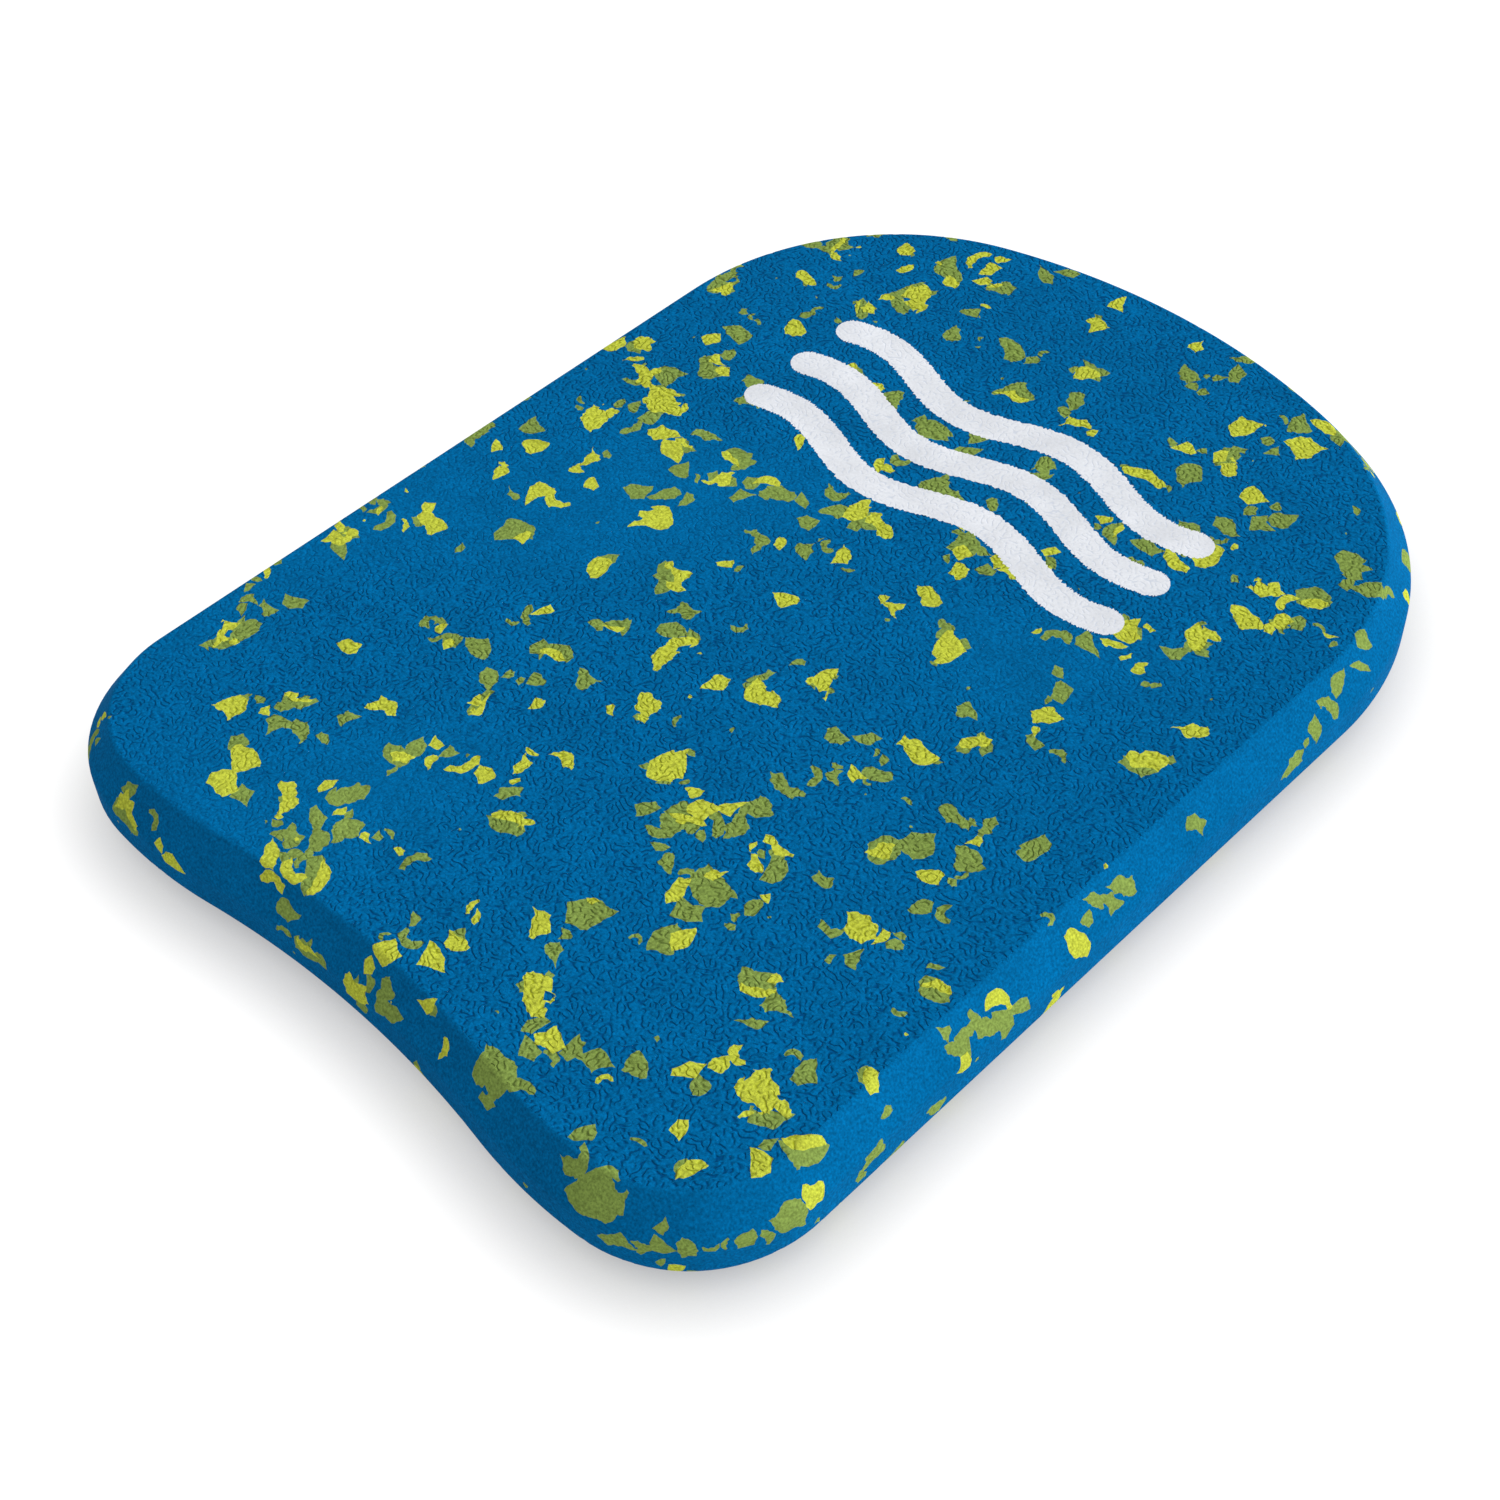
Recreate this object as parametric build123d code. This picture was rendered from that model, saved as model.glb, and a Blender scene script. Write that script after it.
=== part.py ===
from build123d import *
import os
from math import atan2, cos, degrees, hypot, pi, sin, sqrt
from random import Random

os.makedirs("parts", exist_ok=True)

# A kickboard: one slab of closed-cell foam moulded from blue foam and ground-up offcuts of
# two greener foams. +Y points to the rounded nose, +Z up, and the origin lies on the
# ground under the middle of the board.

# Board in plan: parallel sides, a rounded nose, and two tail lobes with a scallop between.
board_length = 414.0
board_width = 305.0
board_thickness = 38.0
nose_crown_radius = 250.0
nose_corner_radius = 110.0
tail_corner_radius = 50.0
tail_lobe_radius = 175.0
tail_lobe_inset = 60.5  # from the side to the lowest point of a lobe
scallop_depth = 7.7

# Bevels cut round both faces. The crease at the face stays crisp, the ridge is softened.
bevel_run = 9.5  # in across the face
bevel_rise = 12.4  # down the side
ridge_radius = 6.0  # between a bevel and the side

# Flakes: the largest chips of ground foam that lie open at the surface, as irregular
# many-cornered chunks. A corner strays round the flake and in from its radius, and a
# flake's two ends curl to one side.
top_flake_count = 74
underside_flake_count = 40
edge_flake_count = 38  # round the bevels and the side
edge_band_lap = 10.0  # the edge band's reach onto each face
flake_radius_min = 5.0
flake_radius_max = 10.5
flake_least_corner_count = 6
flake_most_corner_count = 8
flake_jitter = 0.25  # most that a corner strays, as a share of even spacing
flake_notch = 0.5  # nearest that a corner comes to the middle, as a share of the radius
flake_slimness = 0.5  # width over length of the slimmest
flake_curl = 0.6  # most that the ends move aside, as a share of the half length
flake_depth_base = 2.5  # every flake reaches this far in
flake_depth_share = 0.6  # and further by this share of its radius
flake_spacing = 1.2  # least blue foam between two flakes
flake_tries = 60  # spots tried for one flake
two_tone_share = 0.3  # of the flakes are a lime and an olive chip pressed together
lime_share = 0.62  # of the other flakes are lime
pocket_lead = 4.0  # a pocket on the edge is cut from this far outside the board

# Where the sizes above put the board's ends and sides.
tail_y = -board_length / 2
nose_y = board_length / 2
side_x = board_width / 2


def arc(centre, radius, start, end):
    """An arc about centre, from the direction start to the direction end, in radians."""
    return CenterArc(centre, radius, degrees(start), degrees(end - start))


def board_outline():
    """The closed outline: arcs that run tangent into each other and into the straight sides."""
    crest_x = side_x - tail_lobe_inset
    lobe = (crest_x, tail_y + tail_lobe_radius)
    scallop_radius = (crest_x**2 + scallop_depth**2) / (2 * scallop_depth) - tail_lobe_radius
    scallop = (0, tail_y + scallop_depth - scallop_radius)
    scallop_end = atan2(lobe[1] - scallop[1], lobe[0] - scallop[0])

    corner_x = side_x - tail_corner_radius
    lobe_gap = tail_lobe_radius - tail_corner_radius
    corner = (corner_x, lobe[1] - sqrt(lobe_gap**2 - (corner_x - crest_x) ** 2))
    lobe_end = atan2(corner[1] - lobe[1], corner[0] - lobe[0])

    shoulder_x = side_x - nose_corner_radius
    crown = (0, nose_y - nose_crown_radius)
    crown_gap = nose_crown_radius - nose_corner_radius
    shoulder = (shoulder_x, crown[1] + sqrt(crown_gap**2 - shoulder_x**2))
    shoulder_end = atan2(shoulder[1] - crown[1], shoulder[0] - crown[0])

    right = [
        arc(lobe, tail_lobe_radius, scallop_end - pi, lobe_end),
        arc(corner, tail_corner_radius, lobe_end, 0),
        Line((side_x, corner[1]), (side_x, shoulder[1])),
        arc(shoulder, nose_corner_radius, 0, shoulder_end),
    ]
    left = [edge.mirror(Plane.YZ) for edge in right]
    scallop_arc = arc(scallop, scallop_radius, pi - scallop_end, scallop_end)
    crown_arc = arc(crown, nose_crown_radius, shoulder_end, pi - shoulder_end)
    return Wire([scallop_arc, *right, crown_arc, *left])


def board_blank(outline):
    """The slab with a bevel round each face and its two ridges softened."""
    blank = extrude(make_face(outline), board_thickness)
    for end in (0, -1):
        face = blank.faces().sort_by(Axis.Z)[end]
        blank = chamfer(face.edges(), bevel_run, bevel_rise, reference=face)
    ridges = [
        edge
        for height in (bevel_rise, board_thickness - bevel_rise)
        for edge in blank.edges().filter_by_position(Axis.Z, height, height)
    ]
    return fillet(ridges, ridge_radius)


def edge_spot(outline, rng, radius):
    """A random spot on the bevels and side, and a little way onto both faces.

    The cross-section is walked from the top face, over the edge, to the bottom face. The
    flake lies square to the chord that it spans there, so at a crease it wraps over it.
    """
    section = Polyline(
        (-bevel_run - edge_band_lap - flake_radius_max, board_thickness),
        (-bevel_run, board_thickness),
        (0, board_thickness - bevel_rise),
        (0, bevel_rise),
        (-bevel_run, 0),
        (-bevel_run - edge_band_lap - flake_radius_max, 0),
    )
    along = flake_radius_max + rng.random() * (section.length - 2 * flake_radius_max)
    spot = section.position_at(along, position_mode=PositionMode.LENGTH)
    above = section.position_at(along - radius, position_mode=PositionMode.LENGTH)
    below = section.position_at(along + radius, position_mode=PositionMode.LENGTH)
    chord = (below - above).normalized()

    way = rng.random()
    tangent = outline.tangent_at(way)
    outward = tangent.cross(Vector(0, 0, 1))
    origin = outline.position_at(way) + outward * spot.X + Vector(0, 0, spot.Y)
    normal = outward * -chord.Y + Vector(0, 0, chord.X)
    return Plane(origin=origin, x_dir=tangent, z_dir=normal)


def face_spot(plan, rng, radius, zone):
    """A random spot on a flat face, or none if the flake wouldn't clear the crease there."""
    spot = Vector((rng.random() - 0.5) * board_width, (rng.random() - 0.5) * board_length)
    margin = bevel_run + radius + flake_spacing
    if not plan.is_inside(spot) or plan.outer_wire().distance_to(spot) < margin:
        return None
    if zone == "underside":
        return Plane(origin=spot, z_dir=(0, 0, -1))
    return Plane(origin=spot + Vector(0, 0, board_thickness))


class Flake:
    """One chunk of ground foam: a single tone, or a lime and an olive chip pressed together."""

    def __init__(self, spot, lead, radius, rng):
        self.radius = radius
        self.lead = lead
        self.depth = flake_depth_base + flake_depth_share * radius
        self.plane = spot.rotated((0, 0, 360 * rng.random()))
        count = rng.randint(flake_least_corner_count, flake_most_corner_count)
        slimness = rng.uniform(flake_slimness, 1)
        curl = rng.uniform(-flake_curl, flake_curl)
        half_length = radius / hypot(1, curl)
        self.corners = []
        for index in range(count):
            turn = 2 * pi * (index + rng.uniform(-flake_jitter, flake_jitter)) / count
            reach = half_length * rng.uniform(flake_notch, 1)
            along = reach * cos(turn)
            aside = slimness * reach * sin(turn) + curl * along**2 / half_length
            self.corners.append((along, aside))
        self.two_tone = rng.random() < two_tone_share
        self.tone = "lime" if rng.random() < lime_share else "olive"

    def prism(self, corners):
        """The corners carried from the lead outside the board down to the flake's depth."""
        floor = self.plane.offset(-self.depth) * make_face(Polyline(*corners, close=True))
        return extrude(floor, self.depth + self.lead)

    def pocket(self):
        """The room that the flake takes up in the blue foam."""
        return self.prism(self.corners)

    def chips(self):
        """Each tone with its prism. A pair shares a wall that bends at the flake's middle."""
        if not self.two_tone:
            return [(self.tone, self.pocket())]
        middle = (0, 0)
        half = len(self.corners) // 2
        lime = self.prism([middle, *self.corners[: half + 1]])
        olive = self.prism([middle, *self.corners[half:], self.corners[0]])
        return [("lime", lime), ("olive", olive)]

    def clears(self, other):
        """Whether foam is left between two flakes, each taken as a rod with round ends."""
        needed = self.radius + other.radius + flake_spacing
        reach = needed + self.depth + other.depth
        if (self.plane.origin - other.plane.origin).length > reach:
            return True
        return self.axis().distance_to(other.axis()) > needed

    def axis(self):
        """The line from the middle of the flake's open side to the middle of its floor."""
        return Edge.make_line(self.plane.origin, self.plane.offset(-self.depth).origin)


def scatter_flakes(outline):
    """The flakes of each zone, each set down at the first free spot that it comes to."""
    plan = make_face(outline).face()
    zones = {
        "edge": edge_flake_count,
        "top": top_flake_count,
        "underside": underside_flake_count,
    }
    flakes = {zone: [] for zone in zones}
    for zone, count in zones.items():
        for index in range(count):
            rng = Random(f"{zone} {index}")
            radius = rng.uniform(flake_radius_min, flake_radius_max)
            for _ in range(flake_tries):
                if zone == "edge":
                    spot, lead = edge_spot(outline, rng, radius), pocket_lead
                else:
                    spot, lead = face_spot(plan, rng, radius, zone), 0
                if spot is None:
                    continue
                flake = Flake(spot, lead, radius, rng)
                if all(flake.clears(other) for group in flakes.values() for other in group):
                    flakes[zone].append(flake)
                    break
    return flakes


def chip_solids(blank, zone, flakes, tone):
    """The chips of one tone in one zone, those on the edge trimmed to the board's surface."""
    prisms = [prism for flake in flakes for name, prism in flake.chips() if name == tone]
    if zone == "edge":
        prisms = [prism & blank for prism in prisms]
    return [solid for prism in prisms for solid in prism.solids()]


outline = board_outline()
blank = board_blank(outline)
flakes = scatter_flakes(outline)
pockets = [flake.pocket() for group in flakes.values() for flake in group]
export_step(blank.cut(*pockets), "parts/foam_board.step")
for zone, group in flakes.items():
    for tone in ("lime", "olive"):
        solids = chip_solids(blank, zone, group, tone)
        export_step(Compound(children=solids), f"parts/{zone}_{tone}_flakes.step")
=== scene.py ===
import math

import bpy
import numpy as np
from mathutils import Matrix, Vector
from mathutils.geometry import delaunay_2d_cdt


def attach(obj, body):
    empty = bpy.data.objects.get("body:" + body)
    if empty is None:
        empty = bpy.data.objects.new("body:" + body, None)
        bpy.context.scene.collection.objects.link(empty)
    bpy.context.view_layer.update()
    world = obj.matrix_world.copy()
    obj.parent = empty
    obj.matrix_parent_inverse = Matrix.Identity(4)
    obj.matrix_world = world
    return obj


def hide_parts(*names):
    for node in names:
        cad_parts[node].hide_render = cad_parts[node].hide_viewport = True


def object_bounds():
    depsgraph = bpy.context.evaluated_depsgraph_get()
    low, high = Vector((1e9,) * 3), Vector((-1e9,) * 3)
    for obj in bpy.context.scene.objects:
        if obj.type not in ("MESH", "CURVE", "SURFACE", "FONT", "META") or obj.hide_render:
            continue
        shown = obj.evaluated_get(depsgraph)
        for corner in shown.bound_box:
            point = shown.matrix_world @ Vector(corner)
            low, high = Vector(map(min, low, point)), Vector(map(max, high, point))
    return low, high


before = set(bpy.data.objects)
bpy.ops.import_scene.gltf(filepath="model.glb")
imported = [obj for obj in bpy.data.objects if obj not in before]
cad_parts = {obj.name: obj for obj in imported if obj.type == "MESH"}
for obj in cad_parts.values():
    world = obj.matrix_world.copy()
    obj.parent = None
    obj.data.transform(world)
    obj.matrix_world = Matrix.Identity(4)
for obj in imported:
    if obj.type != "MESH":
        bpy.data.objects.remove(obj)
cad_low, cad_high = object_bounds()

# ---- The slab -------------------------------------------------------------------------
# One slab of closed-cell EVA foam, moulded with a pebbled skin on both faces, then cut to
# its outline and bevelled all round. Its skin is worked out unrolled onto a plane, where
# the flakes are laid out, and is then carried over the edges.

MM = 0.001
width, length, thickness = (cad_high[i] - cad_low[i] for i in range(3))
nose_crown_radius = 250 * MM
nose_corner_radius = 110 * MM
tail_corner_radius = 50 * MM
tail_lobe_radius = 175 * MM
tail_lobe_inset = 60.5 * MM
scallop_depth = 7.7 * MM
straight_radius = 1e9 * MM  # the straight sides are arcs too flat to tell
bevel_run = 9.5 * MM
bevel_rise = 12.4 * MM
crease_radius = 2.2 * MM  # between a face and its bevel
ridge_radius = 6 * MM  # between a bevel and the side
skin_lap = 1.4 * MM  # the unrolled edge ends this far inside the crease of the underside
round_steps = 6  # to each of the section's rounds


def outline_arcs():
    """The right half of the outline, from the middle of the tail to the middle of the nose:
    arcs that run tangent into each other, each with its centre, its radius, 1 where it bows
    outwards or -1 where it bows inwards, and the angles of its start and end."""
    side_x, tail_y, nose_y = width / 2, -length / 2, length / 2
    crest_x = side_x - tail_lobe_inset
    lobe = (crest_x, tail_y + tail_lobe_radius)
    scallop_radius = (crest_x**2 + scallop_depth**2) / (2 * scallop_depth) - tail_lobe_radius
    scallop = (0, tail_y + scallop_depth - scallop_radius)
    scallop_end = math.atan2(lobe[1] - scallop[1], lobe[0] - scallop[0])

    corner_x = side_x - tail_corner_radius
    corner_drop = math.sqrt((tail_lobe_radius - tail_corner_radius) ** 2 - (corner_x - crest_x) ** 2)
    corner = (corner_x, lobe[1] - corner_drop)
    lobe_end = math.atan2(-corner_drop, corner_x - crest_x)

    shoulder_x = side_x - nose_corner_radius
    crown = (0, nose_y - nose_crown_radius)
    shoulder_rise = math.sqrt((nose_crown_radius - nose_corner_radius) ** 2 - shoulder_x**2)
    shoulder = (shoulder_x, crown[1] + shoulder_rise)
    shoulder_end = math.atan2(shoulder_rise, shoulder_x)

    middle_y, half_side = (corner[1] + shoulder[1]) / 2, (shoulder[1] - corner[1]) / 2
    sway = half_side / straight_radius
    straight = (side_x - straight_radius, middle_y)
    return [
        (*scallop, scallop_radius, -1, math.pi / 2, scallop_end),
        (*lobe, tail_lobe_radius, 1, scallop_end - math.pi, lobe_end),
        (*corner, tail_corner_radius, 1, lobe_end, 0),
        (*straight, straight_radius, 1, -sway, sway),
        (*shoulder, nose_corner_radius, 1, 0, shoulder_end),
        (*crown, nose_crown_radius, 1, shoulder_end, math.pi / 2),
    ]


arcs = np.array(outline_arcs())
arc_centre, arc_radius, arc_bulge, arc_from, arc_to = arcs[:, :2], *arcs[:, 2:].T
arc_start = np.concatenate([[0], np.cumsum(arc_radius * np.abs(arc_to - arc_from))])
half_way = arc_start[-1]  # from the middle of the tail to the middle of the nose


def outline_at(way):
    """The outline's point, outward direction and curvature at a distance along it from the
    middle of the tail: a centre plus its radius along the arc's ray, mirrored where the
    distance is negative."""
    way = (way + half_way) % (2 * half_way) - half_way
    row = np.clip(np.searchsorted(arc_start, np.abs(way), side="right") - 1, 0, len(arcs) - 1)
    turned = (np.abs(way) - arc_start[row]) / arc_radius[row]
    angle = arc_from[row] + turned * np.sign(arc_to - arc_from)[row]
    ray = np.stack([np.cos(angle), np.sin(angle)], 1)
    flip = np.stack([np.where(way < 0, -1, 1), np.ones(len(way))], 1)
    point = (arc_centre[row] + arc_radius[row, None] * ray) * flip
    return point, arc_bulge[row, None] * ray * flip, arc_bulge[row] / arc_radius[row]


def foot_on_outline(points):
    """The outline's nearest point to each point, the outward direction there, and how far
    out the point lies: on each arc the ray to the point, kept within the arc's ends, and of
    those the nearest."""
    flip = np.stack([np.where(points[:, 0] < 0, -1, 1), np.ones(len(points))], 1)
    folded = points * flip
    rays = folded[:, None] - arc_centre
    low, high = np.minimum(arc_from, arc_to), np.maximum(arc_from, arc_to)
    angle = np.clip(np.arctan2(rays[..., 1], rays[..., 0]), low, high)
    ray = np.stack([np.cos(angle), np.sin(angle)], 2)
    foot = arc_centre + arc_radius[:, None] * ray
    row = np.linalg.norm(folded[:, None] - foot, axis=2).argmin(1)
    every = np.arange(len(points))
    foot, outward = foot[every, row], arc_bulge[row, None] * ray[every, row]
    return foot * flip, outward * flip, ((folded - foot) * outward).sum(1)


def rounded_section():
    """The cross-section from the top face over the edge to the underside: straight runs
    joined by arcs. Returns each point's distance along it, which starts out equal to the
    distance from the outline, its place as how far out and how high, and which way is
    outward there."""
    inner = -bevel_run - skin_lap
    corners = np.array([
        (inner, thickness), (-bevel_run, thickness), (0, thickness - bevel_rise),
        (0, bevel_rise), (-bevel_run, 0), (inner, 0),
    ])
    points, normals = [corners[0]], [np.array([0.0, 1.0])]
    for k, radius in zip(range(1, 5), (crease_radius, ridge_radius, ridge_radius, crease_radius)):
        before = corners[k] - corners[k - 1]
        after = corners[k + 1] - corners[k]
        start, end = (math.atan2(v[0], -v[1]) for v in (before, after))
        tangent = radius * math.tan((start - end) / 2)
        first = corners[k] - before / np.linalg.norm(before) * tangent
        angle = np.linspace(start, end, round_steps + 1)
        ray = np.stack([np.cos(angle), np.sin(angle)], 1)
        points += list(first + radius * (ray - ray[0]))
        normals += list(ray)
    points, normals = np.array(points + [corners[-1]]), np.array(normals + [(0, -1)])
    steps = np.linalg.norm(np.diff(points, axis=0), axis=1)
    along = inner + np.concatenate([[0], np.cumsum(steps)])
    return along, points, normals


section_along, section_points, section_normals = rounded_section()
skin_start, skin_end = section_along[0], section_along[-1]


def section_at(along):
    """How far out, how high, and which way is outward, at a distance along the section."""
    columns = np.concatenate([section_points, section_normals], 1)
    return np.stack([np.interp(along, section_along, column) for column in columns.T], 1)


def top_and_edge(plane):
    """The skin unrolled from the top face: a point inside the crease lies under itself, and
    one further out is carried over the edge along the section, square to the outline."""
    foot, outward, along = foot_on_outline(plane)
    out, height, lean_out, lean_up = section_at(along).T
    flat = along <= skin_start
    spot = np.where(flat[:, None], plane, foot + outward * out[:, None])
    points = np.column_stack([spot, np.where(flat, thickness, height)])
    normals = np.column_stack([outward * lean_out[:, None], lean_up])
    normals[flat] = (0, 0, 1)
    return points, normals


def underside(plane):
    """The flat of the underside: every point lies at the height of the ground."""
    return np.column_stack([plane, np.zeros(len(plane))]), np.tile([0.0, 0.0, -1.0], (len(plane), 1))


# Points that carry the skin between the flakes: rings round the edge, rows on the flats.
ring_count = 360  # points to a ring
ring_step = 2.6 * MM  # between rings, on the straight runs of the section
least_run = 0.001 * MM  # rounds that meet leave a run shorter than this
face_step = 7 * MM
row_share = 0.866  # rows stand closer than points do, which makes the triangles even


def spaced(start, end, step):
    """Evenly spaced values from start to end, about a step apart."""
    return np.linspace(start, end, max(1, round((end - start) / step)) + 1)


def ring_points(along):
    """Points all round the unrolled skin at one distance from the outline."""
    point, outward, _ = outline_at(half_way * (2 * np.arange(ring_count) / ring_count - 1))
    return point + outward * along


def hexagonal_points(low, high, step):
    """Rows of points over a rectangle, every other row set over by half a step."""
    columns, rows = np.arange(low[0], high[0], step), np.arange(low[1], high[1], step * row_share)
    x, y = np.meshgrid(columns, rows)
    x[1::2] += step / 2
    return np.column_stack([x.ravel(), y.ravel()])


face_points = hexagonal_points((-width / 2, -length / 2), (width / 2, length / 2), face_step)
face_out = foot_on_outline(face_points)[2]
face_points = face_points[face_out < skin_start - face_step / 2]
ring_places = np.concatenate([
    spaced(start, end, ring_step)[:-1]
    for start, end in zip(section_along[:-1], section_along[1:]) if end - start > least_run
])
skin_lattice = np.concatenate([face_points, *[ring_points(along) for along in ring_places]])

# ---- Flakes ---------------------------------------------------------------------------
# Chips and shavings of two greener EVA foams, ground up and mixed into the blue before it
# was moulded, and cut through with it. The largest keep the solid model's places and
# roughly its outlines, smaller ones and crumbs fill in. Each lies flush in its own pocket.

zones = ("top", "edge", "underside")
layers = ("olive", "lime", "board")  # where two overlap, the later one shows
flake_seed = 11
edge_seed = 7
flake_depth = 2 * MM
lime_share = {"top": 0.33, "edge": 0.24, "underside": 0.35}  # of the smaller flakes
olive_reach = 0.9 * MM  # a large olive's reach under the limes that touch it
edge_gap = 0.1 * MM  # between a flake and the ring where the two sheets of skin meet

# Chips: corners round a middle. Shares are of the reach, from the middle to the far corner.
chip_reach = (2.8 * MM, 9 * MM)
chip_reach_lean = 1.4  # above 1, short reaches are commoner than long ones
crumb_reach = (0.6 * MM, 1.7 * MM)
least_corners = 5
most_corners = 7
corner_stray = 0.32  # most that a corner strays round the middle, as a share of even spacing
corner_share = (0.4, 0.85)
chip_slimness = (0.5, 1)
chip_curl = 0.6

# Shavings: a path that bends as it goes, in radians a step. Shares are of half its length.
shaving_share = 0.2  # of the chips in clusters
shaving_bend = (0.25, 0.75)
shaving_sway = 0.2
shaving_width = (0.14, 0.3)
shaving_swell = np.array([0.7, 1, 1.2, 1.2, 1, 0.5])  # of the width, from end to end
shaving_steps = len(shaving_swell)

# Clusters: each chip after the first lies against the one before it.
cluster_share = 0.5  # of the chips have another after them
cluster_closeness = 0.62  # from middle to middle, as a share of both reaches
cluster_sway = 0.9  # most that the way to the next chip turns, in radians

# Torn sides, and the waves that unsettle the large flakes' outlines.
fray = (0.06, 0.23)  # how far a torn side strays, as a share of its length
finest_side = 1.25 * MM
waver_step = 2.4 * MM
waver_least_corners = 6
waver_reach = 1.2 * MM
waver_lengths = np.array([12, 15, 19]) * MM
waver_ways = np.array([0.05, 0.38, 0.71])  # as shares of a full turn

# Small chips that lie against a large flake, and chips of the blue that bite into it.
bud_share = 0.13  # of the large flake's corners have one
bud_reach = (2.2 * MM, 5.5 * MM)
bitten_reach = 6.5 * MM  # the least reach of a flake that is bitten
most_bites = 2
bite_share = (0.3, 0.5)  # a bite's reach, as a share of the flake's


def torn(outline, rng):
    """A torn outline: as long as its sides are longer than the finest ones, every side gets
    a point near its middle, moved square to the side by a random share of its length."""
    most = rng.uniform(*fray)
    side = np.roll(outline, -1, axis=0) - outline
    while np.linalg.norm(side, axis=1).mean() > finest_side:
        shift = rng.uniform(-most, most, (len(outline), 1))
        middle = outline + side / 2 + shift * np.column_stack([-side[:, 1], side[:, 0]])
        outline = np.stack([outline, middle], 1).reshape(-1, 2)
        side = np.roll(outline, -1, axis=0) - outline
    return outline


def wavered(outline):
    """An outline taken at even steps along it, each point moved by three crossing waves: a
    direction times the sine of the place along another. They are the same for every flake,
    so the two chips of a pair still meet."""
    closed = np.concatenate([outline, outline[:1]])
    way = np.concatenate([[0], np.cumsum(np.linalg.norm(np.diff(closed, axis=0), axis=1))])
    count = max(waver_least_corners, round(way[-1] / waver_step))
    at = way[-1] * np.arange(count) / count
    points = np.column_stack([np.interp(at, way, column) for column in closed.T])
    turn = 2 * math.pi * waver_ways
    across = np.column_stack([np.cos(turn), np.sin(turn)])
    waves = np.sin(2 * math.pi * points @ across.T / waver_lengths + turn)
    return points + waver_reach * waves @ np.roll(across, 1, axis=0)


def grown(outline, by):
    """An outline moved outwards at each corner, square to the line between its neighbours."""
    before, after = np.roll(outline, 1, axis=0), np.roll(outline, -1, axis=0)
    along = after - before
    square = np.column_stack([along[:, 1], -along[:, 0]])
    square /= np.linalg.norm(square, axis=1, keepdims=True) + 1e-9
    (x, y), (next_x, next_y) = outline.T, after.T
    anticlockwise = (x * next_y - next_x * y).sum() > 0
    return outline + square * (by if anticlockwise else -by)


def turned(points, angle):
    """Points turned about the origin."""
    c, s = math.cos(angle), math.sin(angle)
    return points @ np.array([(c, s), (-s, c)])


def chip(rng, reach):
    """A chip: corners at uneven angles and distances round its middle, one of them drawn out
    to a tail, squeezed one way and curled to one side, with torn sides."""
    count = rng.integers(least_corners, most_corners + 1)
    stray = rng.uniform(-corner_stray, corner_stray, count)
    angle = 2 * math.pi * (np.arange(count) + stray) / count
    far = reach * rng.uniform(*corner_share, count)
    far[rng.integers(count)] = reach
    along, aside = far * np.cos(angle), far * np.sin(angle) * rng.uniform(*chip_slimness)
    aside = aside + rng.uniform(-chip_curl, chip_curl) * along**2 / reach
    return turned(torn(np.column_stack([along, aside]), rng), rng.uniform(0, 2 * math.pi))


def shaving(rng, reach):
    """A bent shaving: a path that curls round, with a width that swells and narrows to
    either side of it."""
    bend = rng.uniform(*shaving_bend)
    heading = np.cumsum(bend + rng.uniform(-shaving_sway, shaving_sway, shaving_steps))
    ray = np.column_stack([np.cos(heading), np.sin(heading)])
    path = np.cumsum(ray, axis=0) * reach * 2 / shaving_steps
    half = reach * rng.uniform(*shaving_width, (shaving_steps, 1)) * shaving_swell[:, None]
    side = np.column_stack([-ray[:, 1], ray[:, 0]]) * half
    outline = np.concatenate([path - side, (path + side)[::-1]]) - path.mean(0)
    return turned(torn(outline, rng), rng.uniform(0, 2 * math.pi))


def laid_on_edge(shape, way, along):
    """A shape laid on the unrolled skin at its true size: its first direction runs along
    the outline, stretched there by as much as unrolling has stretched the skin."""
    curve = outline_at(np.array([way]))[2]
    out = section_at(np.array([along]))[0, 0]
    point, outward, _ = outline_at(way + shape[:, 0] / (1 + curve * out))
    return point + outward * np.minimum(along + shape[:, 1:], skin_end - edge_gap)


section_samples = 1200
weld_step = 0.002 * MM  # corners of a solid's triangles that lie closer than this are one
skin_tolerance = crease_radius / 6  # the solid's crisp creases stand off the softened ones


def nearest_on_section(out, height):
    """For places given by out and height: the distance along the section of its nearest
    point, and how far off that is."""
    along = np.linspace(skin_start, skin_end, section_samples)
    shape = section_at(along)
    gap = np.hypot(shape[:, 0] - out[:, None], shape[:, 1] - height[:, None])
    return along[gap.argmin(1)], gap.min(1)


def unrolled(points):
    """Points on the top face or the edge: where they lie on the unrolled skin, and how far
    off the skin they are."""
    foot, outward, out = foot_on_outline(points[:, :2])
    along, gap = nearest_on_section(out, points[:, 2])
    flat = out < skin_start
    gap = np.where(flat, np.minimum(points[:, 2], thickness - points[:, 2]), gap)
    on_top = flat & (points[:, 2] > thickness / 2)
    return np.where(on_top[:, None], points[:, :2], foot + outward * along[:, None]), gap


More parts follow.
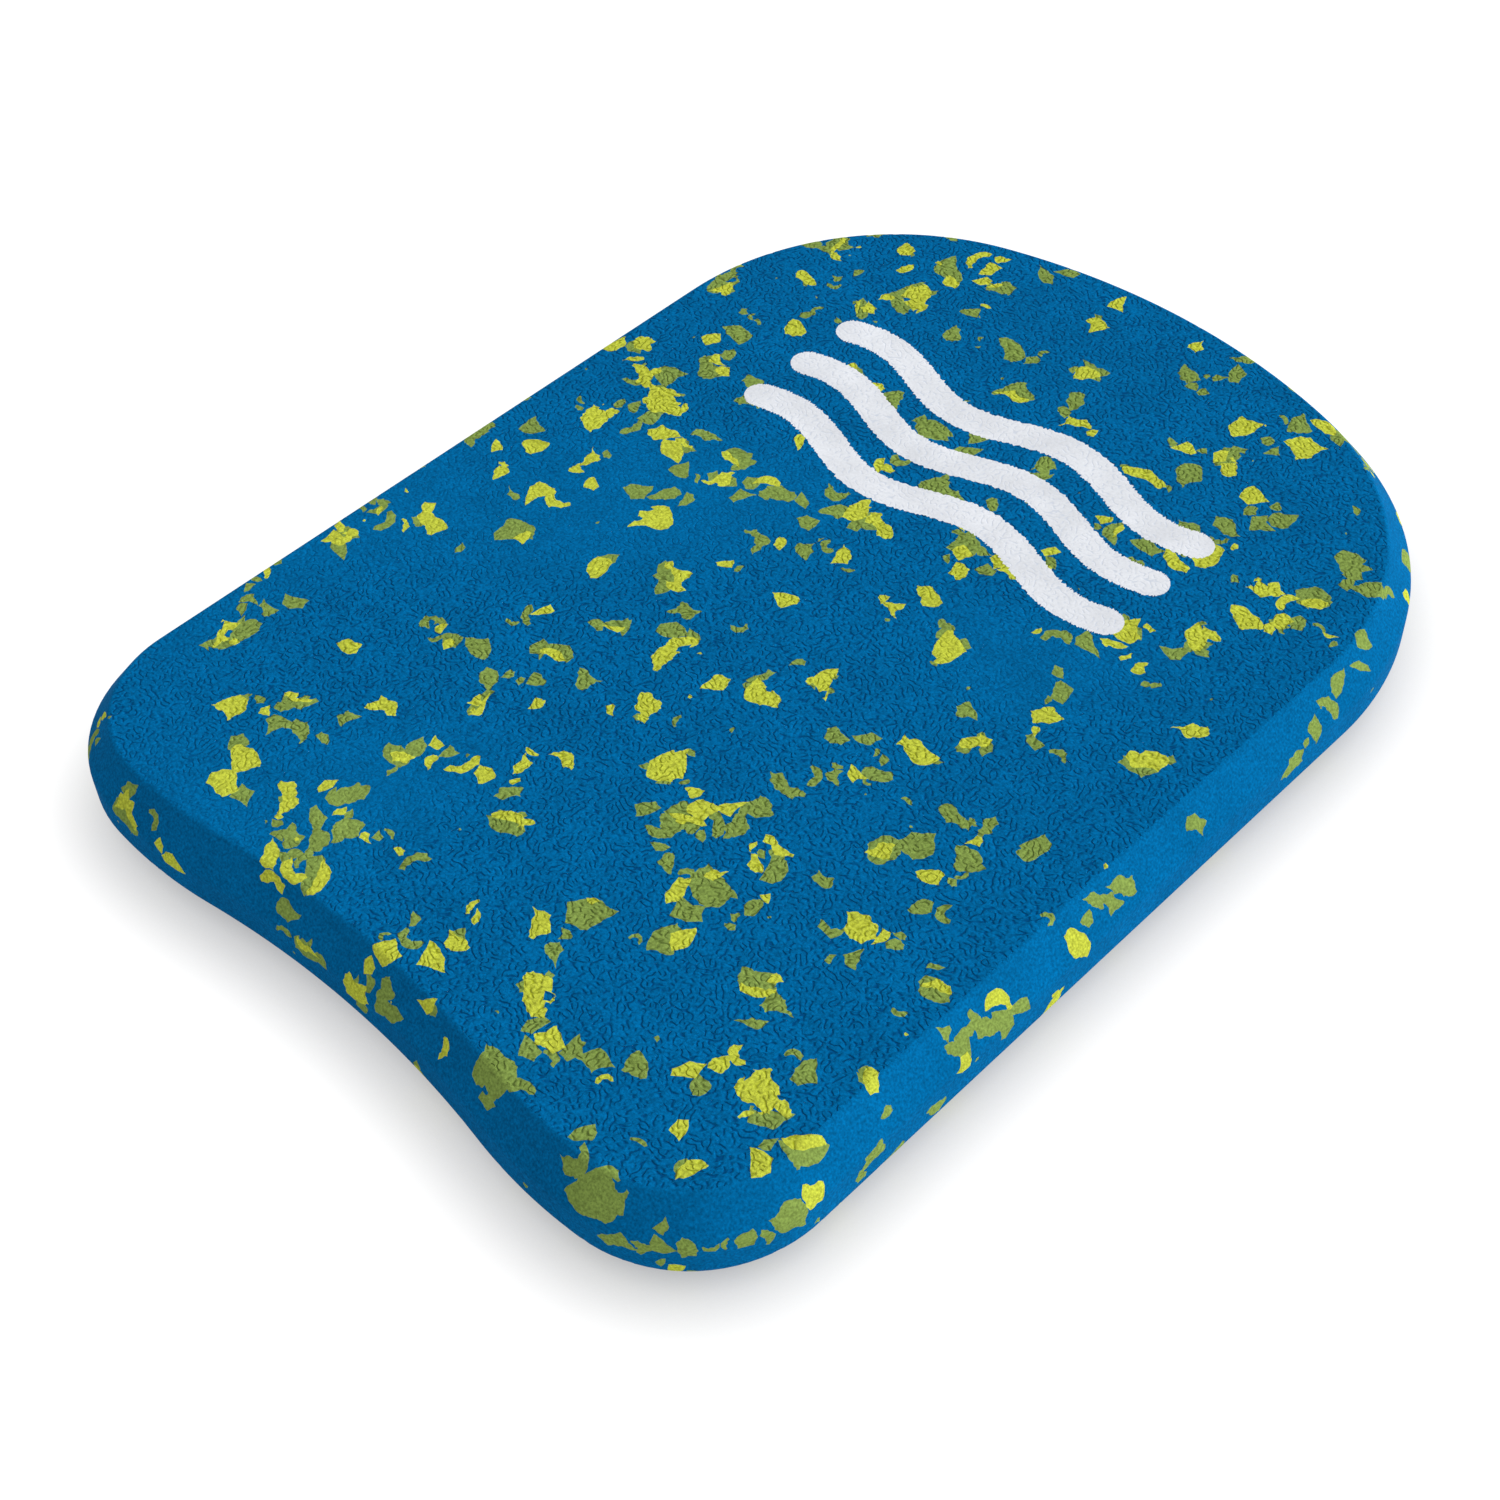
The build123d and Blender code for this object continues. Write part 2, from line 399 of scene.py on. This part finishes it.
def open_outlines(node):
    """The outlines of a node's flakes where they lie open, as loops of points in space: the
    border of the triangles that have all their corners on the board's skin."""
    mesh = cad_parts[node].data
    mesh.calc_loop_triangles()
    points = np.zeros(len(mesh.vertices) * 3, np.float32)
    mesh.vertices.foreach_get("co", points)
    corners = np.zeros(len(mesh.loop_triangles) * 3, np.int32)
    mesh.loop_triangles.foreach_get("vertices", corners)
    keys = np.round(points.reshape(-1, 3)[corners] / weld_step).astype(int)
    keys, corners = np.unique(keys, axis=0, return_inverse=True)
    places, corners = keys * weld_step, corners.reshape(-1, 3)
    on_skin = (unrolled(places)[1] < skin_tolerance)[corners].all(1)
    sides = set(map(tuple, corners[on_skin][:, [(0, 1), (1, 2), (2, 0)]].reshape(-1, 2).tolist()))
    onward = {}
    for a, b in sides:
        if (b, a) not in sides:
            onward.setdefault(a, []).append(b)
    loops = []
    while onward:
        first = next(iter(onward))
        loop, at = [], first
        while at in onward:
            loop.append(at)
            ends = onward[at]
            after = ends.pop()
            if not ends:
                del onward[at]
            at = after
        if at == first and len(loop) > 2:
            loops.append(places[loop])
    return loops


def inside(points, outline):
    """The even-odd rule: whether a line from each point crosses the outline an odd number
    of times."""
    x, y = points[:, :1], points[:, 1:]
    (ax, ay), (bx, by) = outline.T, np.roll(outline, -1, axis=0).T
    spans = (ay > y) != (by > y)
    rise = np.where(by == ay, 1, by - ay)
    return ((x < ax + (y - ay) / rise * (bx - ax)) & spans).sum(1) % 2 == 1


def large_flake(rng, node, outline):
    """One of the solid model's flakes as pairs of a node and an outline: the bites, the
    flake itself with its outline wavered and torn, and the chips against its corners."""
    zone, tone, _ = node.split("_")
    outline = wavered(outline)
    reach = np.ptp(outline, axis=0).max() / 2
    bite_count = rng.integers(1, most_bites + 1) if reach > bitten_reach else 0
    pairs = [
        ("foam_board", corner + chip(rng, reach * rng.uniform(*bite_share)))
        for corner in rng.choice(outline, bite_count)
    ]
    pairs.append((node, torn(grown(outline, olive_reach if tone == "olive" else 0), rng)))
    for corner in outline[rng.random(len(outline)) < bud_share]:
        tone = "lime" if rng.random() < lime_share[zone] else "olive"
        pairs.append((f"{zone}_{tone}_flakes", corner + chip(rng, rng.uniform(*bud_reach))))
    return pairs


def small_flakes(rng, zone, lay, cluster_count, crumb_count):
    """Clusters of chips and shavings, then crumbs, each laid down by lay, as pairs of a node
    and an outline. In a cluster the way from chip to chip wanders."""
    shapes = []
    for _ in range(cluster_count):
        place, spot, heading = rng.random(2), np.zeros(2), rng.uniform(0, 2 * math.pi)
        before = 0
        while not before or rng.random() <= cluster_share:
            share = rng.random() ** chip_reach_lean
            reach = chip_reach[0] + (chip_reach[1] - chip_reach[0]) * share
            make = shaving if rng.random() < shaving_share else chip
            if before:
                heading += rng.uniform(-cluster_sway, cluster_sway)
                onward = np.array([math.cos(heading), math.sin(heading)])
                spot = spot + cluster_closeness * (before + reach) * onward
            shapes.append((place, make(rng, reach) + spot))
            before = reach
    shapes += [(rng.random(2), chip(rng, rng.uniform(*crumb_reach))) for _ in range(crumb_count)]
    tones = np.where(rng.random(len(shapes)) < lime_share[zone], "lime", "olive")
    return [(f"{zone}_{tone}_flakes", lay(shape, place)) for tone, (place, shape) in zip(tones, shapes)]


def lay_flat(shape, place):
    """A shape laid somewhere on a flat face."""
    return (place - 0.5) * (width, length) + shape


def lay_on_edge(shape, place):
    """A shape laid somewhere on the bevels or the side."""
    along = skin_start + place[1] * (skin_end - skin_start)
    return laid_on_edge(shape, half_way * (2 * place[0] - 1), along)


# Each sheet of the skin has a list of its flakes. A flake of the edge that reaches round
# onto the underside lies partly in each.
skin_flakes, underside_flakes = [], []
rng = np.random.default_rng(flake_seed)
for node in [f"{zone}_{tone}_flakes" for zone in zones for tone in ("olive", "lime")]:
    for loop in open_outlines(node):
        low = loop[:, 2] < edge_gap
        if not low.all():
            skin_flakes += large_flake(rng, node, unrolled(loop)[0])
        if low.sum() > 2:
            underside_flakes += large_flake(rng, node, loop[low, :2])
skin_flakes += small_flakes(rng, "top", lay_flat, cluster_count=235, crumb_count=50)
rng = np.random.default_rng(edge_seed)
skin_flakes += small_flakes(rng, "edge", lay_on_edge, cluster_count=72, crumb_count=30)
underside_flakes += small_flakes(rng, "underside", lay_flat, cluster_count=240, crumb_count=50)

# ---- Foam -----------------------------------------------------------------------------
# The slab and the six groups of chips, all closed-cell EVA foam, bonded face to face in the
# mould. One triangulation of the skin carries them all, so that each chip fills its pocket
# in the slab. Group 0 is the slab, and each later one is the chips that stand for a node.

groups = ["foam_board"] + [f"{zone}_{tone}_flakes" for zone in zones for tone in ("lime", "olive")]
merge_reach = 0.001  # in mm, as the triangulation works in them
hair = 0.02 * MM  # how far vertices that stand at one point are drawn apart


def clamped(outline, limit):
    """An outline whose corners beyond a distance from the board's outline are brought back
    to it, and the share of the corners that were."""
    foot, outward, along = foot_on_outline(outline)
    over = along > limit
    return np.where(over[:, None], foot + outward * limit, outline), over.mean()


def layer_of(pair):
    """Where the layer of a pair of a node and an outline stands among the layers."""
    return layers.index(pair[0].split("_")[1])


def triangulated(lattice, flakes, limit):
    """The plane inside the ring at a limit as triangles whose sides follow every flake's
    outline: a constrained Delaunay triangulation, of which the triangles with all their
    corners on the ring lie outside it. Returns the points with the ring's first, the
    triangles, and the group that each triangle belongs to."""
    kept = []
    for node, outline in sorted(flakes, key=layer_of):
        outline, share_beyond = clamped(outline, limit - edge_gap)
        if share_beyond < 0.5:
            kept.append((node, outline))
    ring = ring_points(limit)
    loops = [ring] + [outline for _, outline in kept]
    starts = np.cumsum([0] + [len(loop) for loop in loops])
    edges = [
        (start + k, start + (k + 1) % len(loop))
        for start, loop in zip(starts, loops) for k in range(len(loop))
    ]
    given = [Vector(point) for point in np.concatenate([*loops, lattice]) / MM]
    points, _, triangles, sources, _, _ = delaunay_2d_cdt(given, edges, [], 0, merge_reach)
    points, triangles = np.array([tuple(point) for point in points]) * MM, np.array(triangles)
    found_at = {source: at for at, found in enumerate(sources) for source in found}
    first = [found_at[k] for k in range(len(ring))]
    order = np.array(first + sorted(set(range(len(points))) - set(first)))
    rank = np.empty(len(points), int)
    rank[order] = np.arange(len(points))
    points, triangles = points[order], rank[triangles]
    triangles = triangles[(triangles >= len(ring)).any(1)]

    middle = clamped(points[triangles].mean(1), limit - 2 * edge_gap)[0]
    group = np.zeros(len(triangles), int)
    for node, outline in kept:
        near = ((middle > outline.min(0)) & (middle < outline.max(0))).all(1).nonzero()[0]
        group[near[inside(middle[near], outline)]] = groups.index(node)
    return points, triangles, group


# The underside's sheet takes the ring from the other, so that the slab is one closed skin.
skin_plane, skin_triangles, skin_group = triangulated(skin_lattice, skin_flakes, skin_end)
low_plane, low_triangles, low_group = triangulated(face_points, underside_flakes, skin_start)
points, normals = top_and_edge(skin_plane)
low_points, low_normals = underside(low_plane)
points[:ring_count] = low_points[:ring_count]
points = np.concatenate([points, low_points[ring_count:]])
normals = np.concatenate([normals, low_normals[ring_count:]])
beyond_ring = len(skin_plane) + np.arange(len(low_plane) - ring_count)
number_of = np.concatenate([np.arange(ring_count), beyond_ring])
triangles = np.concatenate([skin_triangles, number_of[low_triangles[:, ::-1]]])
group_of = np.concatenate([skin_group, low_group])


def split_fans(faces):
    """Triangles renumbered so that no vertex joins two separate fans of them: their corners
    are one vertex only where the triangles share a side there, found by giving both the
    lower number until nothing changes. Returns the triangles and each vertex's old number."""
    corner = np.arange(faces.size).reshape(faces.shape)
    start, end = faces.ravel(), np.roll(faces, -1, axis=1).ravel()
    start_corner, end_corner = corner.ravel(), np.roll(corner, -1, axis=1).ravel()
    key, back = start * len(points) + end, end * len(points) + start
    order = key.argsort()
    match = order[np.searchsorted(key[order], back).clip(max=len(key) - 1)]
    paired = key[match] == back
    one = np.concatenate([start_corner[paired], end_corner[paired]])
    other = np.concatenate([end_corner[match[paired]], start_corner[match[paired]]])
    number = np.arange(faces.size)
    changing = True
    while changing:
        low = np.minimum(number[one], number[other])
        changing = (number[one] != number[other]).any()
        np.minimum.at(number, one, low)
        np.minimum.at(number, other, low)
    kept, number = np.unique(number, return_inverse=True)
    return number.reshape(faces.shape), faces.ravel()[kept]


def border(faces):
    """The two ends of each directed side that no neighbouring triangle runs the other way."""
    start, end = faces.ravel(), np.roll(faces, -1, axis=1).ravel()
    count = faces.max() + 1
    alone = ~np.isin(end * count + start, start * count + end)
    return start[alone], end[alone]


def parted(faces, old):
    """The vertices' places. Where several stand at one point, each moves by a hair towards
    the middle of its own triangles, so that they stay apart."""
    places = points[old]
    pull = np.zeros_like(places)
    np.add.at(pull, faces, places[faces].mean(1)[:, None] - places[faces])
    pull *= hair / np.linalg.norm(pull, axis=1, keepdims=True).clip(hair / 1000)
    return places + pull * (np.bincount(old)[old] > 1)[:, None]


def closed_piece(name, upper, lower=None):
    """A closed mesh: upper triangles on the skin, lower ones beneath it by the flakes'
    depth, and a wall down from each side of the upper border to the same side of the lower
    one, which runs the other way. A chip's lower triangles are its upper ones turned over."""
    top, top_old = split_fans(upper)
    low, low_old = top[:, ::-1], top_old
    if lower is not None:
        low_old, low = np.unique(lower, return_inverse=True)
        low = low.reshape(lower.shape)
    start, end = border(top)
    low_start, low_end = border(low)
    key = low_old[low_end] * len(points) + low_old[low_start]
    order = key.argsort()
    match = order[np.searchsorted(key[order], top_old[start] * len(points) + top_old[end])]
    low_start, low_end = len(top_old) + low_start[match], len(top_old) + low_end[match]
    walls = np.stack([start, low_end, low_start, end], 1)
    below = parted(low, low_old) - normals[low_old] * flake_depth
    vertices = np.concatenate([parted(top, top_old), below])
    faces = [*top.tolist(), *(low + len(top_old)).tolist(), *walls.tolist()]
    mesh = bpy.data.meshes.new(name)
    mesh.from_pydata(vertices.tolist(), [], faces)
    mesh.shade_smooth()
    vertex_normals = np.concatenate([normals[top_old], normals[low_old]])
    mesh.normals_split_custom_set_from_vertices(vertex_normals.tolist())
    piece = bpy.data.objects.new(name, mesh)
    bpy.context.scene.collection.objects.link(piece)
    return piece


def linear(hex_colour):
    """A colour written as sRGB hex, as the linear numbers that a shader takes."""
    parts = [int(hex_colour[k:k + 2], 16) / 255 for k in (1, 3, 5)]
    return (*(c / 12.92 if c <= 0.04045 else ((c + 0.055) / 1.055) ** 2.4 for c in parts), 1)


def add_node(tree, kind, inputs, **settings):
    """Adds a node with its settings. Its inputs are given by name or number, each a value or
    the output that feeds it. Returns the node's outputs."""
    node = tree.nodes.new("ShaderNode" + kind)
    for name, value in settings.items():
        setattr(node, name, value)
    for key, value in inputs.items():
        if isinstance(value, bpy.types.NodeSocket):
            tree.links.new(value, node.inputs[key])
        else:
            node.inputs[key].default_value = value
    return node.outputs


# The grain, as the mould leaves it on both faces. Bands are of a noise's value.
wave_spacing = 3.7 * MM  # a groove runs on each side of a wave
# The grooves' band sets where painted shade darkens the foam. The pillows' band shapes the bumps.
groove_band = (0.02, 0.07)
pillow_band = (0, 0.14)
strength_band = (0.12, 0.28)  # below it the waves are too weak for a groove
relief_depth = 0.4 * MM
face_lap = 0.06 * MM  # the grain stops this near to the level of a face
worn_patch_size = 130 * MM
worn_band = (0.34, 0.46)
worn_grain = 0.3

# The colour's changes, as shares of it. Real cells are about 0.2 mm across, and cells and pores are
# drawn coarser, so that they show. The pores' darkness is painted shade.
noise_band = (0.3, 0.7)  # of a noise's value
mottle_size = 16 * MM
mottle_change = 0.07
cell_size = 0.8 * MM
foam_cell_change = 0.32
pore_spacing = 1.3 * MM
pore_band = (0.1, 0.18)  # from a pore's middle to its rim, as shares of the spacing
pore_shade = 0.7  # painted shade in the pores, as a share of the way to the grooves' painted shade colour


def moulded_grain(tree, place):
    """The moulded grain: short winding grooves where a noise of even waves passes through
    its middle value, broken where its waves are weak. Returns how far down from the tops of the
    pillows between them a point is, which drives the bumps, and how deep in the grooves, which
    drives painted shade there. Both are on the flat faces alone, fainter where worn."""
    height = add_node(tree, "SeparateXYZ", {"Vector": place})["Z"]
    top_level = thickness - face_lap
    top = add_node(tree, "Math", {0: height, 1: top_level}, operation="GREATER_THAN")[0]
    low = add_node(tree, "Math", {0: height, 1: face_lap}, operation="LESS_THAN")[0]
    flat = add_node(tree, "Math", {0: top, 1: low}, operation="MAXIMUM")[0]
    wear = add_node(tree, "TexNoise", {"Vector": place, "Scale": 1 / worn_patch_size, "Detail": 1})[0]
    fresh = add_node(tree, "MapRange", {
        "Value": wear, "From Min": worn_band[0], "From Max": worn_band[1],
        "To Min": worn_grain, "To Max": 1,
    })[0]
    waves = add_node(tree, "TexGabor", {
        "Vector": place, "Scale": 1 / wave_spacing, "Frequency": 1, "Anisotropy": 0,
    }, gabor_type="2D")
    strong = add_node(tree, "MapRange", {
        "Value": waves["Intensity"], "From Min": strength_band[0], "From Max": strength_band[1],
        "To Min": 0, "To Max": 1,
    })[0]
    grain = add_node(tree, "Math", {0: flat, 1: fresh}, operation="MULTIPLY")[0]
    grain = add_node(tree, "Math", {0: grain, 1: strong}, operation="MULTIPLY")[0]

    off = add_node(tree, "Math", {0: waves["Value"], 1: 0.5}, operation="SUBTRACT")[0]
    off = add_node(tree, "Math", {0: off}, operation="ABSOLUTE")[0]
    pillow = add_node(tree, "MapRange", {
        "Value": off, "From Min": pillow_band[0], "From Max": pillow_band[1],
        "To Min": 1, "To Max": 0,
    }, interpolation_type="SMOOTHSTEP")[0]
    groove = add_node(tree, "MapRange", {
        "Value": off, "From Min": groove_band[0], "From Max": groove_band[1],
        "To Min": 1, "To Max": 0,
    })[0]
    dip = add_node(tree, "Math", {0: pillow, 1: grain}, operation="MULTIPLY")[0]
    return dip, add_node(tree, "Math", {0: groove, 1: grain}, operation="MULTIPLY")[0]


def eva_foam(name, colour, groove_shade_colour, cell_change=foam_cell_change, relief=relief_depth):
    """Closed-cell EVA foam, fully matt: mottled from cell to cell, with painted shade down in
    its moulded grain and in the pores that the cutter opened. cell_change is how far the colour
    strays between cells, and relief is how deep the grain is."""
    material = bpy.data.materials.new(name)
    material.use_nodes = True
    tree = material.node_tree
    tree.nodes.clear()
    place = add_node(tree, "TexCoord", {})["Object"]
    dip, groove = moulded_grain(tree, place)

    # A colour Mix takes its colours at inputs 6 and 7, and gives one at output 2.
    tone = linear(colour)
    for size, change in ((mottle_size, mottle_change), (cell_size, cell_change)):
        noise = add_node(tree, "TexNoise", {"Vector": place, "Scale": 1 / size, "Detail": 3})[0]
        shade = add_node(tree, "MapRange", {
            "Value": noise, "From Min": noise_band[0], "From Max": noise_band[1],
            "To Min": 1 - change, "To Max": 1 + change,
        })[0]
        shaded = {0: 1, 6: tone, 7: shade}
        tone = add_node(tree, "Mix", shaded, data_type="RGBA", blend_type="MULTIPLY")[2]
    cells = add_node(tree, "TexVoronoi", {"Vector": place, "Scale": 1 / pore_spacing})["Distance"]
    pores = add_node(tree, "MapRange", {
        "Value": cells, "From Min": pore_band[0], "From Max": pore_band[1],
        "To Min": pore_shade, "To Max": 0,
    })[0]
    # Painted shade: down in the grooves and the open pores, the colour is mixed toward the darker
    # groove shade colour.
    painted_hollow_shade = add_node(tree, "Math", {0: groove, 1: pores}, operation="MAXIMUM")[0]
    tone = add_node(tree, "Mix", {0: painted_hollow_shade, 6: tone, 7: linear(groove_shade_colour)}, data_type="RGBA")[2]

    height = add_node(tree, "Math", {0: 1, 1: dip}, operation="SUBTRACT")[0]
    normal = add_node(tree, "Bump", {"Height": height, "Distance": relief, "Strength": 1})[0]
    shader = add_node(tree, "BsdfPrincipled", {
        "Base Color": tone, "Roughness": 0.9, "Specular IOR Level": 0.02, "Normal": normal,
    })[0]
    add_node(tree, "OutputMaterial", {0: shader})
    return material


# Blue foam gives the eye a deep, even pool blue, lime foam a sharp yellow green that stands
# out from it, and olive foam a duller green between the two.
foams = {
    # The second colour of each foam is painted shade, used down in its grooves and pores.
    "blue": eva_foam("blue_eva_foam", "#0067A1", "#004B82"),
    "lime": eva_foam("lime_eva_foam", "#C4CD45", "#A9B22A"),
    "olive": eva_foam("olive_eva_foam", "#859D4D", "#607533"),
}

slab = closed_piece("slab", triangles[group_of == 0], triangles[group_of > 0])
pieces = [(slab, "foam_board", "blue")]
for group, node in enumerate(groups[1:], 1):
    zone, tone, _ = node.split("_")
    pieces.append((closed_piece(f"{zone}_{tone}_chips", triangles[group_of == group]), node, tone))
for piece, node, tone in pieces:
    piece.data.materials.append(foams[tone])
    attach(piece, "root")
    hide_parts(node)

# ---- Print ----------------------------------------------------------------------------
# A plain motif of three waves, screen-printed in white rubber ink on the nose end: a thin
# film that lies over slab and flakes alike, with ragged sides where the grain broke it.

print_seed = 5
print_middle = (-2 * MM, 84 * MM)
wave_length = 88 * MM
wave_height = 5.5 * MM
stripe_half_length = 86 * MM
stripe_half_width = 6.2 * MM
stripe_pitch = 24 * MM
ink_thickness = 0.03 * MM  # stands proud by this much, and sinks in by half as much
ink_raggedness = 0.26 * MM
film_steps = 420  # along a stripe, closer together towards its ends
film_end = 0.04  # in radians of the steps' quarter turn, left off each end


def wave_films(middles):
    """Closed films, each on a grid of lengthways and crossways steps: a sine wave along x
    whose half width closes to a round at both ends, its sides made ragged at random."""
    rng = np.random.default_rng(print_seed)
    quarter = math.pi / 2 - film_end
    u = np.sin(np.linspace(-quarter, quarter, film_steps))[:, None]
    v = np.array([[-1, 0, 1]])
    x = u * stripe_half_length
    past = (np.abs(x) - stripe_half_length + stripe_half_width).clip(0) / stripe_half_width
    crest = wave_height * np.sin(2 * math.pi * x / wave_length)
    slope = wave_height * 2 * math.pi / wave_length * np.cos(2 * math.pi * x / wave_length)
    lean = np.sqrt(1 + slope**2)
    number = np.arange(x.size * v.size).reshape(x.size, v.size)
    rim = np.concatenate([number[:-1, 0], number[-1, :-1], number[:0:-1, -1], number[0, :0:-1]])
    count = number.size
    corners = (number[:-1, :-1], number[1:, :-1], number[1:, 1:], number[:-1, 1:])
    top = np.stack(corners, 2).reshape(-1, 4)
    walls = np.stack([rim, rim + count, np.roll(rim, -1) + count, np.roll(rim, -1)], 1)
    faces = np.concatenate([top, top[:, ::-1] + count, walls])
    vertices, every_face = [], []
    for middle in middles:
        ragged = 1 + rng.normal(0, ink_raggedness, (len(u), 2)) / stripe_half_width
        half = stripe_half_width * np.sqrt(1 - past**2) * np.where(v < 0, ragged[:, :1], ragged[:, 1:])
        film_x = x - v * half * slope / lean + middle[0]
        film_y = crest + v * half / lean + middle[1]
        spot = np.stack([film_x, film_y], 2).reshape(-1, 2)
        every_face.append(faces + 2 * count * len(every_face))
        for level in (thickness + ink_thickness, thickness - ink_thickness / 2):
            vertices.append(np.column_stack([spot, np.full(count, level)]))
    return np.concatenate(vertices), np.concatenate(every_face)


# White rubber ink gives the eye a dense, slightly blue white, smoother than the foam below.
# The ink's second colour is painted shade, used down in the grain that shows through it.
ink = eva_foam("white_rubber_ink", "#E9ECF2", "#D9DFEA", cell_change=0.05, relief=relief_depth / 8)
vertices, faces = wave_films([print_middle + np.array([0, k * stripe_pitch]) for k in (-1, 0, 1)])
mesh = bpy.data.meshes.new("wave_print")
mesh.from_pydata(vertices.tolist(), [], faces.tolist())
mesh.materials.append(ink)
wave_print = bpy.data.objects.new("wave_print", mesh)
bpy.context.scene.collection.objects.link(wave_print)
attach(wave_print, "root")

# ---- Studio ---------------------------------------------------------------------------
# A seamless white sweep, one broad lamp from the right and a weaker one from over the far
# end, and the even glow of white walls.

floor_size = 6
floor_drop = 0.02 * MM  # below the object, so that its underside isn't in the floor's face
paper_colour = "#F8F8F8"
shadow_colour = "#888888"
painted_shadow_reach = 25 * MM  # from the object, of the painted soft shadow round its foot
floor_glow_with_painted_shadow = (0.25, 0.9)  # dimmed close in at the foot as painted shadow, full far out
wall_glow = 0.42

# White paper gives the eye a bright, even ground with a soft shadow. It lights the object
# as plain white paper would, and glows for the camera so that it stays white far out. Close round
# the object's foot, ambient occlusion dims that glow as a painted contact shadow, added to the lamps'
# real shadows.
floor = bpy.data.objects.new("floor", bpy.data.meshes.new("floor"))
square = [(-1, -1), (1, -1), (1, 1), (-1, 1)]
corners = [(x * floor_size / 2, y * floor_size / 2, -floor_drop) for x, y in square]
floor.data.from_pydata(corners, [], [(0, 1, 2, 3)])
bpy.context.scene.collection.objects.link(floor)
paper = bpy.data.materials.new("white_paper_sweep")
paper.use_nodes = True
tree = paper.node_tree
tree.nodes.clear()
bounce = add_node(tree, "BsdfDiffuse", {"Color": linear(paper_colour)})[0]
shadow = add_node(tree, "BsdfDiffuse", {"Color": linear(shadow_colour)})[0]
# Painted shadow: ambient occlusion dims the floor's glow near the object's foot.
openness = add_node(tree, "AmbientOcclusion", {"Distance": painted_shadow_reach})["AO"]
strength = add_node(tree, "MapRange", {
    "Value": openness, "To Min": floor_glow_with_painted_shadow[0], "To Max": floor_glow_with_painted_shadow[1],
})[0]
glow = add_node(tree, "Emission", {"Color": (1, 1, 1, 1), "Strength": strength})[0]
bright = add_node(tree, "AddShader", {0: shadow, 1: glow})[0]
camera_ray = add_node(tree, "LightPath", {})["Is Camera Ray"]
sweep = add_node(tree, "MixShader", {0: camera_ray, 1: bounce, 2: bright})[0]
add_node(tree, "OutputMaterial", {0: sweep})
floor.data.materials.append(paper)

world = bpy.data.worlds.new("white_walls")
bpy.context.scene.world = world
world.use_nodes = True
tree = world.node_tree
tree.nodes.clear()
rays = add_node(tree, "LightPath", {})
seen = rays["Is Camera Ray"]
for kind in ("Is Glossy Ray", "Is Transmission Ray"):
    seen = add_node(tree, "Math", {0: seen, 1: rays[kind]}, operation="MAXIMUM")[0]
walls = add_node(tree, "Background", {"Color": (1, 1, 1, 1), "Strength": wall_glow})[0]
white = add_node(tree, "Background", {"Color": (1, 1, 1, 1), "Strength": 1})[0]
both = add_node(tree, "MixShader", {0: seen, 1: walls, 2: white})[0]
add_node(tree, "OutputWorld", {0: both})


def add_lamp(name, from_place, strength, width_degrees):
    """A sun lamp shining from a direction, as wide as a soft box seen from the object."""
    lamp = bpy.data.objects.new(name, bpy.data.lights.new(name, "SUN"))
    lamp.data.energy = strength
    lamp.data.angle = math.radians(width_degrees)
    lamp.rotation_euler = Vector(from_place).to_track_quat("Z", "Y").to_euler()
    bpy.context.scene.collection.objects.link(lamp)


add_lamp("side_box", from_place=(0.55, 0.37, 0.2), strength=2.15, width_degrees=60)
add_lamp("top_box", from_place=(0, 0.3, 0.35), strength=1.29, width_degrees=60)

# The camera stands off the right of the tail and looks down on the board.
camera_target = (8.24 * MM, -37.4 * MM, 0)
camera_distance = 813 * MM
azimuth, elevation, roll = (math.radians(angle) for angle in (46.06, 48.36, -2.49))
lens_mm = 59
film_width_mm = 36

level = np.array([math.cos(azimuth), math.sin(azimuth), 0])
outward = np.array([math.sin(azimuth), -math.cos(azimuth), 0])
back = math.cos(elevation) * outward + np.array([0, 0, math.sin(elevation)])
right = math.cos(roll) * level + math.sin(roll) * np.cross(back, level)
upward = np.cross(back, right)
place = camera_target + camera_distance * back
axes = np.stack([right, upward, back], 1)
camera = bpy.data.objects.new("camera", bpy.data.cameras.new("camera"))
camera.data.lens = lens_mm
camera.data.sensor_width = film_width_mm
camera.matrix_world = Matrix([*((*row, at) for row, at in zip(axes, place)), (0, 0, 0, 1)])
bpy.context.scene.collection.objects.link(camera)
bpy.context.scene.camera = camera
bpy.context.scene.view_settings.view_transform = "Standard"
